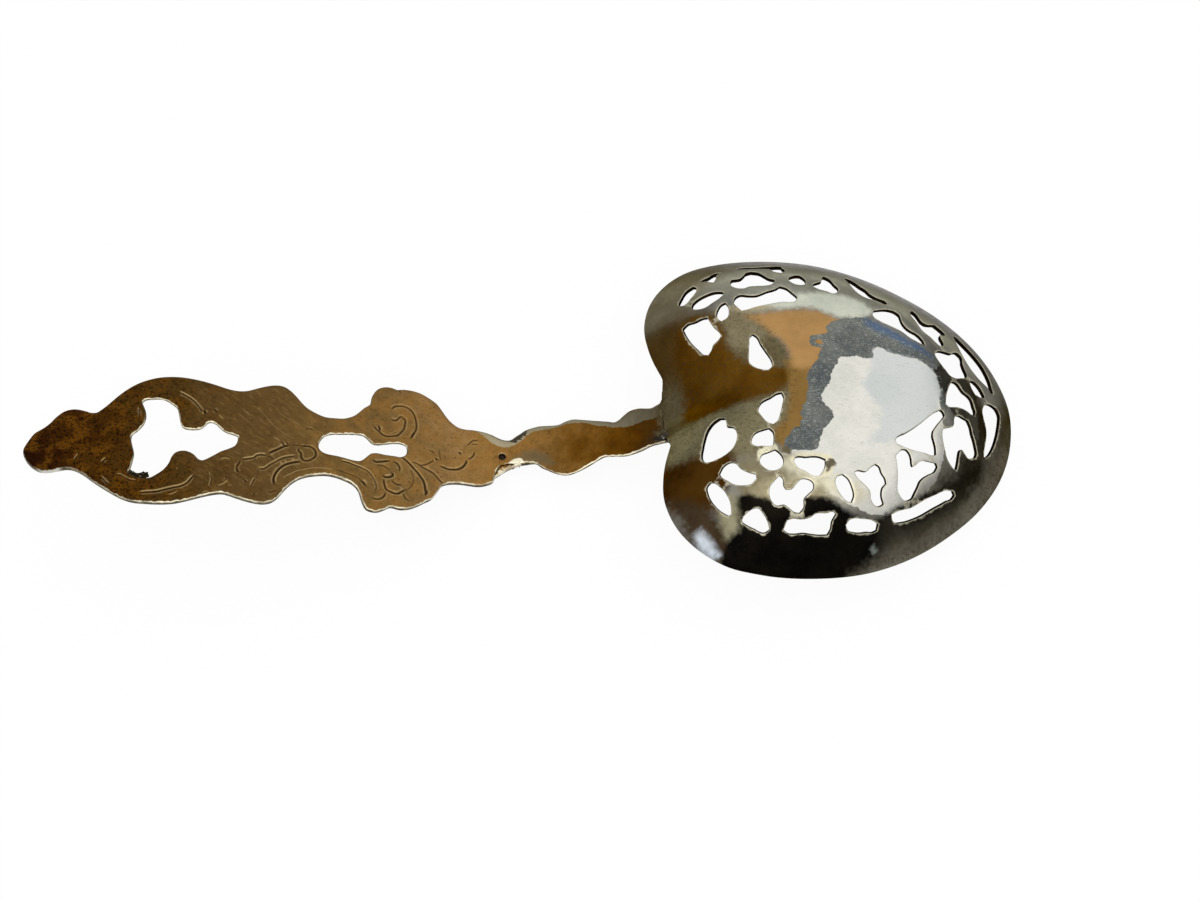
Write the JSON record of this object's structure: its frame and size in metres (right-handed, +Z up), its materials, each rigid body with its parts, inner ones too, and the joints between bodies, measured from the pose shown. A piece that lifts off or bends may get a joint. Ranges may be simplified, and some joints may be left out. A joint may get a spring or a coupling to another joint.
{
  "type": "pierced serving spoon",
  "caption": "Flat serving spoon lying on its face: a domed heart-shaped bowl pierced with leaf openings, a wavy stem and an openwork scroll handle.",
  "frame": {"origin": "bottom centre of the whole spoon, on the table it lies on", "axes": "+X from the handle's end to the tip of the bowl, +Z up to the convex back of the bowl"},
  "size_m": [0.175, 0.0662, 0.0235],
  "materials": {
    "bowl_silver": "polished silver with brown and grey tarnish",
    "stem_silver": "brown tarnished silver with bright edges",
    "handle_silver": "brown tarnished silver",
    "seam_solder": "grey tarnished solder",
    "neck_solder": "dark tarnished solder",
    "peg_silver": "dark tarnished silver"
  },
  "bodies": {
    "root": {"pierced_bowl": "bowl_silver", "stem": "stem_silver", "scroll_handle": "handle_silver", "bowl_solder_seam": "seam_solder", "neck_solder_seam": "neck_solder", "neck_peg": "peg_silver"}
  },
  "joints": []
}
